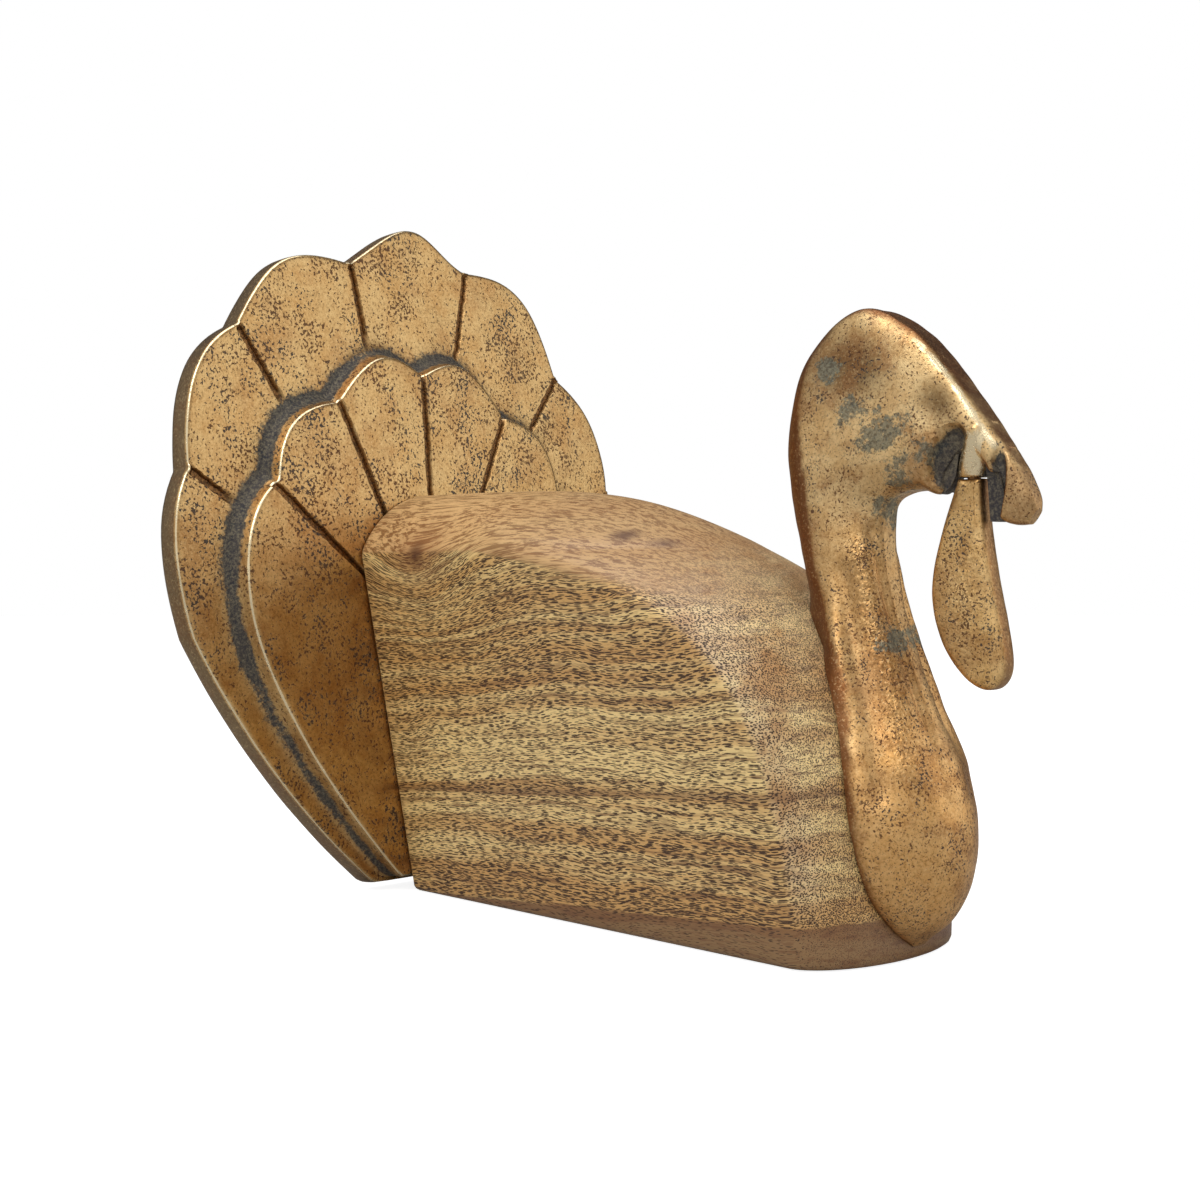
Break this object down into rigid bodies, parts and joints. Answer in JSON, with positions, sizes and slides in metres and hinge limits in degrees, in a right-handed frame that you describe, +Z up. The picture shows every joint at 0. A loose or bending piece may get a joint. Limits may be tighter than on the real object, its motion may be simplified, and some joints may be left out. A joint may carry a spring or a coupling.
{
  "type": "turkey figurine",
  "caption": "Tabletop turkey figure: a shaped wood body on a flat base, a fan of cast feathers behind it, and a cast neck, head and hanging wattle in front.",
  "frame": {"origin": "on the ground, under the middle of the figure's bounding box", "axes": "+X forward to the beak, +Y to the turkey's left, +Z up"},
  "size_m": [0.1834, 0.146, 0.1625],
  "materials": {
    "wood": "satin",
    "tail_brass": "aged",
    "head_brass": "aged",
    "wattle_brass": "aged",
    "fastener_steel": "plain"
  },
  "bodies": {
    "root": {"wood_body": "wood", "tail_fan": "tail_brass", "head_and_neck": "head_brass", "wattle": "wattle_brass", "tail_screw_1": "fastener_steel", "tail_screw_2": "fastener_steel", "tail_screw_3": "fastener_steel", "neck_stud_1": "fastener_steel", "neck_stud_2": "fastener_steel"}
  },
  "joints": []
}
